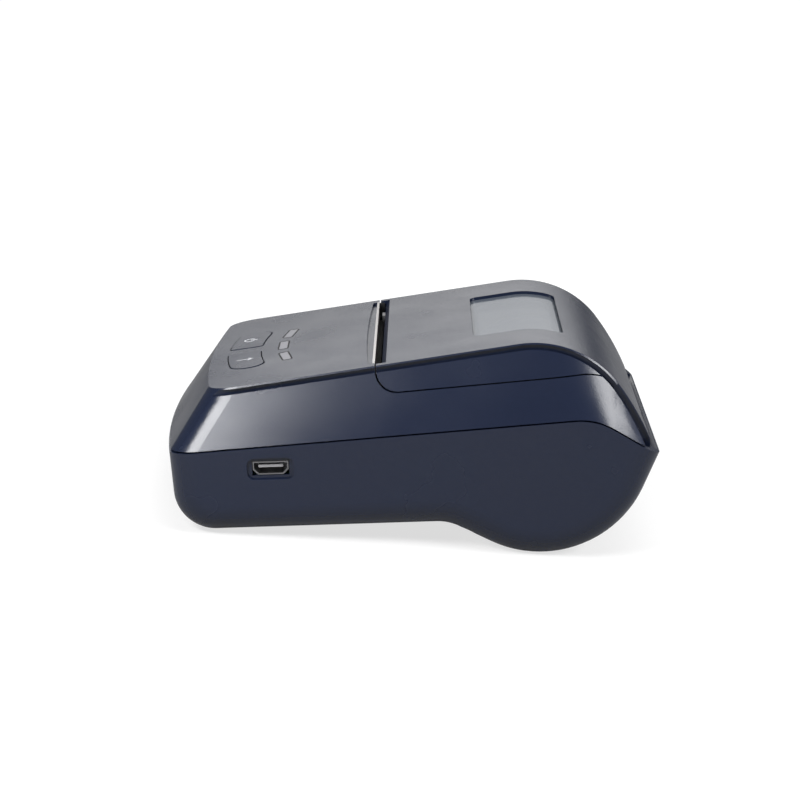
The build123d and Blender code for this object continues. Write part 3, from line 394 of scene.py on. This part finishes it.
def grained_plastic(name, grain, colour, roughness, coarser=1, deeper=1, specular=0.5):
    """Moulded plastic, rubber or ceramic with the fine grain of a size and a height."""
    size, height = grain
    material, tree, shader = fresh_material(name)
    shader.inputs["Specular IOR Level"].default_value = specular
    texture = effect(tree, "Moulded grain", moulded_grain, {"Size": size * coarser})
    tinted(tree, shader, colour, texture.outputs["Tint"])
    polish = maths(tree, "ADD", texture.outputs["Roughness"], roughness)
    tree.links.new(polish, shader.inputs["Roughness"])
    raised(tree, shader, texture.outputs["Height"], height * deeper)
    return material


def drawn_metal(name, colour, roughness, fineness=9000.0):
    """Metal with drawn lines along X."""
    line_height = 0.004 * MM
    material, tree, shader = fresh_material(name)
    fill(shader, {"Metallic": 1.0, "Roughness": roughness})
    lines = effect(tree, "Drawn lines", drawn_lines, {"Fineness": fineness})
    tinted(tree, shader, colour, lines.outputs["Tint"])
    raised(tree, shader, lines.outputs["Height"], line_height)
    return material


def plain(name, colour, roughness, metallic=0.0, coat=0.0):
    """A plain finish without pattern."""
    material, _, shader = fresh_material(name)
    fill(shader, {"Base Color": colour, "Roughness": roughness, "Metallic": metallic,
                  "Coat Weight": coat})
    return material


def wound_paper(name, colour, centre, spacing):
    """Paper wound on a core, with rings on its ends."""
    material, tree, shader = fresh_material(name)
    shader.inputs["Roughness"].default_value = 0.75
    rings = effect(tree, "Wound rings", wound_rings,
                   {"Centre Y": centre[1], "Centre Z": centre[2], "Spacing": spacing})
    tinted(tree, shader, colour, rings.outputs["Tint"])
    return material


def clear_window(name, colour, cover):
    """Slightly smoked clear plastic that hides a share of what is behind it."""
    material, _, shader = fresh_material(name)
    fill(shader, {"Base Color": colour, "Roughness": 0.16, "IOR": 1.49,
                  "Specular IOR Level": 0.4, "Alpha": cover})
    return material


def background_share(tree, mirror):
    """How much of the white background a ray sees.

    It is all for the camera and through clear things, a share in reflections, and none for
    the light on matt surfaces.
    """
    rays = tree.nodes.new("ShaderNodeLightPath")
    straight = maths(tree, "MAXIMUM", rays.outputs["Is Camera Ray"],
                     rays.outputs["Is Transmission Ray"])
    mirrored = maths(tree, "MULTIPLY", rays.outputs["Is Glossy Ray"], mirror)
    return maths(tree, "MAXIMUM", straight, mirrored)


# Places read from the CAD nodes

def on_deck(across, along, lift):
    """Points in metres from millimetres across, along and above the deck."""
    return DECK + MM * (np.multiply.outer(across, ACROSS) + np.multiply.outer(along, DECK_ALONG)
                        + np.multiply.outer(lift, DECK_OVER))


def in_case(across, along, lift):
    """Points in metres from millimetres across, along and above the flat base."""
    return BASE + MM * (np.multiply.outer(across, ACROSS) + np.multiply.outer(along, ALONG)
                        + np.multiply.outer(lift, OVER))


def node_points(name):
    """The points of a CAD node, in metres."""
    mesh = nodes[name].data
    places = np.empty(3 * len(mesh.vertices))
    mesh.vertices.foreach_get("co", places)
    return places.reshape(-1, 3)


def node_centre(name):
    """The middle of a CAD node's box."""
    low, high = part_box(name)
    return (np.array(low) + np.array(high)) / 2


def level_over_deck(name):
    """How far a CAD node reaches over the deck, in millimetres."""
    return float(((node_points(name) - DECK) @ DECK_OVER).max() / MM)


def case_corners(name):
    """The low and high corner of a CAD node in millimetres across, along and above the base."""
    places = (node_points(name) - BASE) @ np.stack([ACROSS, ALONG, OVER], axis=1) / MM
    return np.stack([places.min(axis=0), places.max(axis=0)])


def finish_of(name):
    """The finish of a CAD node, which the Finishes step gave it."""
    finishes = nodes[name].data.materials
    if not finishes:
        raise RuntimeError(name + " has no finish yet")
    return finishes[0]


# Surfaces

def mesh_piece(name, points, faces, material, body, smooth=True):
    """An object at the origin from a table of points in metres and a table of faces."""
    mesh = bpy.data.meshes.new(name)
    faces = [[int(corner) for corner in face] for face in faces]
    mesh.from_pydata(np.asarray(points, float).tolist(), [], faces)
    mesh.validate()
    mesh.polygons.foreach_set("use_smooth", [smooth] * len(mesh.polygons))
    mesh.materials.append(material)
    piece = bpy.data.objects.new(name, mesh)
    bpy.context.scene.collection.objects.link(piece)
    if body:
        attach(piece, body)
    return piece


def gathered(pieces):
    """Several tables of points and faces as one."""
    points, faces = [], []
    for some, rings in pieces:
        faces += [[corner + len(points) for corner in ring] for ring in rings]
        points += np.asarray(some).tolist()
    return points, faces


def grid_faces(rows, columns):
    """Quads over a grid of rows, each of which closes round its columns."""
    row = np.arange(rows - 1)[:, None]
    column = np.arange(columns)[None, :]
    after = (column + 1) % columns
    quads = np.stack([row * columns + column, row * columns + after,
                      (row + 1) * columns + after, (row + 1) * columns + column], axis=-1)
    return quads.reshape(-1, 4)


def with_ends(faces, count, around):
    """The quads of a tube of count points, and a flat face over each end."""
    first = list(range(around))[::-1]
    last = [count - around + corner for corner in range(around)]
    return faces.tolist() + [first, last]


def unit(vectors):
    """Vectors of length one."""
    return vectors / np.linalg.norm(vectors, axis=1)[:, None]


def tube_along(path, radius, around):
    """Points and faces of a round tube with flat ends.

    point(t, a) = path(t) + radius * (cos(a) * normal(t) + sin(a) * binormal(t)), where a runs
    once round in equal steps.
    """
    tangent = unit(np.gradient(path, axis=0))
    off_x = np.abs(tangent[:, :1]) < 0.9
    helper = np.where(off_x, [[1.0, 0, 0]], [[0, 0, 1.0]])
    normal = unit(np.cross(tangent, helper))
    binormal = np.cross(tangent, normal)
    angle = np.linspace(0, 2 * np.pi, around, endpoint=False)[None, :, None]
    ring = np.cos(angle) * normal[:, None] + np.sin(angle) * binormal[:, None]
    points = (path[:, None] + radius * ring).reshape(-1, 3)
    return points, with_ends(grid_faces(len(path), around), len(points), around)


def coil_path(centre, length, turns):
    """The middle line of a spring's wire, along the case.

    path(t) = centre + (climb(t) - 1/2) * length along the case, plus the coil's radius times
    cos(t) across and sin(t) upwards. climb(t) goes from 0 to 1 evenly, and rests at each end
    for END_TURNS of the turning.
    """
    turn = np.linspace(0, 2 * np.pi * turns, TURN_STEPS * turns)
    climb = np.clip(turn / turn[-1] * (1 + 2 * END_TURNS) - END_TURNS, 0, 1)
    round_it = np.cos(turn)[:, None] * ACROSS + np.sin(turn)[:, None] * OVER
    return centre + ((climb - 0.5) * length)[:, None] * ALONG + COIL_RADIUS * round_it


def left_of(run):
    """Level unit vectors at right angles to a run of vectors on the deck, on its left."""
    run = unit(run)
    return np.stack([-run[:, 1], run[:, 0]], axis=1)


def round_run(loop):
    """The direction of a closed loop at each of its points, from the two neighbours."""
    return np.roll(loop, -1, axis=0) - np.roll(loop, 1, axis=0)


def ribbon(path, run, width, low, high):
    """The corners of a flat ribbon on the deck, four to each point of its path.

    They are path(t) -+ width / 2 * left(t) at the low and the high level, in millimetres,
    where left(t) is at right angles to the run at t.
    """
    half = left_of(run) * width / 2
    left, right = path + half, path - half
    sides = np.stack([left, right, right, left], axis=1)
    lift = np.broadcast_to([low, low, high, high], sides.shape[:2])
    return on_deck(sides[..., 0], sides[..., 1], lift).reshape(-1, 3)


def flat_stroke(path, width, low, high):
    """Points and faces of a flat ribbon along a path on the deck, with flat ends."""
    points = ribbon(path, np.gradient(path, axis=0), width, low, high)
    return points, with_ends(grid_faces(len(path), 4), len(points), 4)


def ring_stroke(loop, width, low, high):
    """Points and faces of a flat ribbon round a loop on the deck, which joins its start."""
    points = ribbon(loop, round_run(loop), width, low, high)
    return points, (grid_faces(len(loop) + 1, 4) % len(points)).tolist()


def top_outline(name, grow):
    """The outline of a CAD node's top on the deck, in millimetres, moved outwards by grow.

    It is the ring of the top's corner points, rounded to a micrometre, in the order of their
    angle about the middle.
    """
    places = (node_points(name) - DECK) / MM
    lift = places @ DECK_OVER
    top = lift > lift.max() - TOP_SKIN
    flat = np.stack([places @ ACROSS, places @ DECK_ALONG], axis=1)[top]
    flat = np.unique(flat.round(3), axis=0)
    ray = flat - (flat.min(axis=0) + flat.max(axis=0)) / 2
    loop = flat[np.argsort(np.arctan2(ray[:, 1], ray[:, 0]))]
    return loop - grow * left_of(round_run(loop))


def slab(low, high):
    """Points and faces of a box from its low to its high corner.

    The corners are in millimetres across, along and above the flat base.
    """
    pick = np.array([[0, 0, 0], [1, 0, 0], [1, 1, 0], [0, 1, 0],
                     [0, 0, 1], [1, 0, 1], [1, 1, 1], [0, 1, 1]])
    corners = np.where(pick, high, low)
    faces = [[3, 2, 1, 0], [4, 5, 6, 7], [0, 1, 5, 4], [1, 2, 6, 5], [2, 3, 7, 6], [3, 0, 4, 7]]
    return in_case(corners[:, 0], corners[:, 1], corners[:, 2]), faces


# Steps

class PRINTER_OT_finishes(bpy.types.Operator):
    """Puts a finish on every CAD node"""
    bl_idname = "printer.finishes"
    bl_label = "Finishes"

    def execute(self, context):
        plastic = context.scene.printer_plastic
        grain = plastic.grain_size, plastic.grain_height
        case = {"Charcoal shell": (plastic.shell_colour, plastic.roughness),
                "Charcoal deck": (plastic.deck_colour, plastic.roughness),
                "Key plastic": (plastic.deck_colour, plastic.roughness + KEY_MATT)}
        made = {name: grained_plastic(name, grain, *look) for name, look in case.items()}
        made |= {name: grained_plastic(name, grain, **look) for name, look in MOULDED.items()}
        made |= {name: drawn_metal(name, **look) for name, look in DRAWN.items()}
        made |= {name: plain(name, **look) for name, look in PLAIN.items()}
        made["Thermal paper"] = wound_paper("Thermal paper", PAPER, node_centre("paper_core"),
                                            PAPER_SPACING)
        made["Smoked window"] = clear_window("Smoked window", plastic.window_colour,
                                             plastic.window_cover)
        for finish, names in FINISHED.items():
            for name in names:
                mesh = nodes[name].data
                mesh.materials.clear()
                mesh.materials.append(made[finish])
        bare = set(nodes).difference(*FINISHED.values())
        if bare:
            raise RuntimeError("no finish for " + ", ".join(sorted(bare)))
        return {"FINISHED"}


class PRINTER_OT_springs(bpy.types.Operator):
    """Winds the two springs behind the print head"""
    bl_idname = "printer.springs"
    bl_label = "Head springs"

    def execute(self, context):
        settings = context.scene.printer_springs
        low, high = (np.array(corner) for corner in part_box("head_springs"))
        middle = (low + high) / 2 * [0, 1, 1]
        sleeve = (high[1] - low[1] - 2 * SLEEVE_RADIUS * math.sin(LEAN)) / math.cos(LEAN)
        length = sleeve - 2 * settings.wire
        coils = [tube_along(coil_path(middle + side * ACROSS, length, settings.turns),
                            settings.wire, WIRE_SIDES) for side in SPRING_PLACES]
        spring = mesh_piece("head_spring_coils", *gathered(coils), finish_of("head_springs"),
                            "case")
        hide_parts("head_springs")
        return {"FINISHED"}


class PRINTER_OT_signs(bpy.types.Operator):
    """Prints the power sign and the feed sign on the two keys"""
    bl_idname = "printer.signs"
    bl_label = "Key signs"

    def execute(self, context):
        settings = context.scene.printer_signs
        ink = plain("Sign ink", settings.ink, 0.5)
        width = settings.stroke / MM

        turn = np.radians(np.linspace(*POWER_ARC, 60))
        arc = POWER_CENTRE + POWER_RADIUS * np.stack([np.sin(turn), np.cos(turn)], axis=1)
        bar = POWER_CENTRE + np.stack([np.zeros(8), np.linspace(*POWER_BAR, 8)], axis=1)
        low = level_over_deck("power_button") - INK_SINK
        strokes = [flat_stroke(line, width, low, low + INK_DEPTH) for line in (arc, bar)]
        power = mesh_piece("power_sign", *gathered(strokes), ink, "power_key", smooth=False)

        shaft = FEED_CENTRE + np.stack([np.zeros(10), np.linspace(*FEED_SHAFT, 10)], axis=1)
        side = np.linspace(-1, 1, 5)
        tip = FEED_CENTRE + np.stack([FEED_HEAD[0] * side,
                                      FEED_SHAFT[1] - FEED_HEAD[1] * np.abs(side)], axis=1)
        low = level_over_deck("feed_button") - INK_SINK
        strokes = [flat_stroke(line, width, low, low + INK_DEPTH) for line in (shaft, tip)]
        feed = mesh_piece("feed_sign", *gathered(strokes), ink, "feed_key", smooth=False)
        return {"FINISHED"}


class PRINTER_OT_light_gap_shade(bpy.types.Operator):
    """Draws a thin dark frame round each light bar, as painted shade of the gap round its lens
    """
    bl_idname = "printer.light_frames"
    bl_label = "Light bar gap shade"

    def execute(self, context):
        width = context.scene.printer_signs.frame / MM
        rings = [ring_stroke(top_outline("led_lens_" + place, width / 2), width, *GAP_SHADE_LEVELS)
                 for place in ("left", "middle", "right")]
        # The near-black rings are painted shade of the gap round each lens
        dark = plain("Painted gap shade", (0.006, 0.006, 0.007, 1), 0.6)
        mesh_piece("light_bar_gap_shade", *gathered(rings), dark, "case", smooth=False)
        return {"FINISHED"}


class PRINTER_OT_slot_details(bpy.types.Operator):
    """Adds the heater line on the print head and the blind at the slot's far end"""
    bl_idname = "printer.slot_details"
    bl_label = "Slot details"

    def execute(self, context):
        face = case_corners("thermal_head")[1, 1]
        height = case_corners("platen_roller").mean(axis=0)[2]
        glaze = plain("Heater glaze", (0.2, 0.11, 0.05, 1), 0.15)
        line = slab((-HEATER_HALF_LENGTH, face - HEATER_SINK, height - HEATER_HALF_HEIGHT),
                    (HEATER_HALF_LENGTH, face + HEATER_RISE, height + HEATER_HALF_HEIGHT))
        mesh_piece("heater_line", *line, glaze, "case", smooth=False)

        slot = case_corners("cover")[0, 1]
        low, high = ((BLIND_ACROSS[end], slot + BLIND_ALONG[end], BLIND_OVER[end])
                     for end in (0, 1))
        mesh_piece("slot_blind", *slab(low, high), finish_of("cover_liner"), "case",
                   smooth=False)
        return {"FINISHED"}


class PRINTER_OT_stage(bpy.types.Operator):
    """Lays the floor and sets the lights and the camera"""
    bl_idname = "printer.stage"
    bl_label = "Stage"

    def execute(self, context):
        settings = context.scene.printer_stage
        context.scene.view_settings.view_transform = "Standard"
        corners = [(x * FLOOR_REACH, y * FLOOR_REACH, 0)
                   for x, y in ((-1, -1), (1, -1), (1, 1), (-1, 1))]
        floor = mesh_piece("floor", corners, [[0, 1, 2, 3]], self.pale_floor(settings), None)
        self.pale_room(settings)
        for name, facts in LAMPS.items():
            power = getattr(settings, facts["power"]) * facts.get("share", 1)
            self.soft_light(name, facts["place"], facts["target"], facts["size"], power)
        self.photo_camera(settings)
        return {"FINISHED"}

    def pale_room(self, settings):
        """White to the camera, dimmer in reflections, and a low even light to other rays."""
        world = bpy.data.worlds.new("Pale room")
        bpy.context.scene.world = world
        world.use_nodes = True
        tree = world.node_tree
        background = tree.nodes["Background"]
        background.inputs["Color"].default_value = WHITE
        level = maths(tree, "MAXIMUM", background_share(tree, settings.mirror), settings.sky)
        tree.links.new(level, background.inputs["Strength"])

    def pale_floor(self, settings):
        """White to the camera, dimmer in reflections, and a grey surface to the light.

        The white is a little less near the middle, where the printer stands: painted shade round
        its place, which lets its cast shadow show.
        """
        material, tree, shader = fresh_material("Pale floor")
        fill(shader, {"Base Color": FLOOR_GREY, "Roughness": 0.9, "Specular IOR Level": 0.1,
                      "Emission Color": WHITE})
        reach = tree.nodes.new("ShaderNodeVectorMath")
        reach.operation = "LENGTH"
        # Less white near the middle: painted shade round where the printer stands
        shade_round_middle = tree.nodes.new("ShaderNodeMapRange")
        fill(shade_round_middle, {"From Min": 0.07, "From Max": 0.3, "To Min": 0.7, "To Max": 1.0})
        tree.links.new(object_place(tree), reach.inputs[0])
        tree.links.new(reach.outputs["Value"], shade_round_middle.inputs["Value"])
        share = background_share(tree, settings.mirror)
        tree.links.new(maths(tree, "MULTIPLY", share, shade_round_middle.outputs["Result"]),
                       shader.inputs["Emission Strength"])
        return material

    def soft_light(self, name, place, target, size, power):
        """A rectangular lamp that faces a point."""
        lamp = bpy.data.lights.new(name, "AREA")
        lamp.shape = "RECTANGLE"
        lamp.size, lamp.size_y = size
        lamp.energy = power
        holder = bpy.data.objects.new(name, lamp)
        bpy.context.scene.collection.objects.link(holder)
        holder.location = place
        ray = Vector(target) - Vector(place)
        holder.rotation_euler = ray.to_track_quat("-Z", "Y").to_euler()

    def photo_camera(self, settings):
        """The camera at the photo's place and angle."""
        camera = bpy.data.cameras.new("photo_camera")
        camera.lens = settings.lens
        camera.sensor_width = SENSOR_WIDTH
        camera.clip_start = NEAREST
        eye = bpy.data.objects.new("photo_camera", camera)
        bpy.context.scene.collection.objects.link(eye)
        forward = Vector(EYE_FORWARD).normalized()
        right = forward.cross(Vector(EYE_UP)).normalized()
        up = right.cross(forward)
        turn = Matrix((right, up, -forward)).transposed()
        eye.matrix_world = Matrix.Translation(EYE) @ turn.to_4x4()
        bpy.context.scene.camera = eye


class PRINTER_PT_panel(bpy.types.Panel):
    """Lists the steps that dress the printer"""
    bl_label = "Receipt printer"
    bl_idname = "PRINTER_PT_panel"
    bl_space_type = "VIEW_3D"
    bl_region_type = "UI"
    bl_category = "Printer"

    def draw(self, context):
        for operator in OPERATORS:
            self.layout.operator(operator.bl_idname)


OPERATORS = (PRINTER_OT_finishes, PRINTER_OT_springs, PRINTER_OT_signs, PRINTER_OT_light_gap_shade,
             PRINTER_OT_slot_details, PRINTER_OT_stage)
SETTINGS = {"printer_plastic": PlasticSettings, "printer_springs": SpringSettings,
            "printer_signs": SignSettings, "printer_stage": StageSettings}


def register():
    for name, group in SETTINGS.items():
        bpy.utils.register_class(group)
        setattr(bpy.types.Scene, name, PointerProperty(type=group))
    for operator in OPERATORS:
        bpy.utils.register_class(operator)
    bpy.utils.register_class(PRINTER_PT_panel)


def unregister():
    bpy.utils.unregister_class(PRINTER_PT_panel)
    for operator in reversed(OPERATORS):
        bpy.utils.unregister_class(operator)
    for name, group in reversed(SETTINGS.items()):
        delattr(bpy.types.Scene, name)
        bpy.utils.unregister_class(group)


def main():
    register()
    for step in OPERATORS:
        group, call = step.bl_idname.split(".")
        getattr(getattr(bpy.ops, group), call)()


if __name__ == "__main__":
    main()
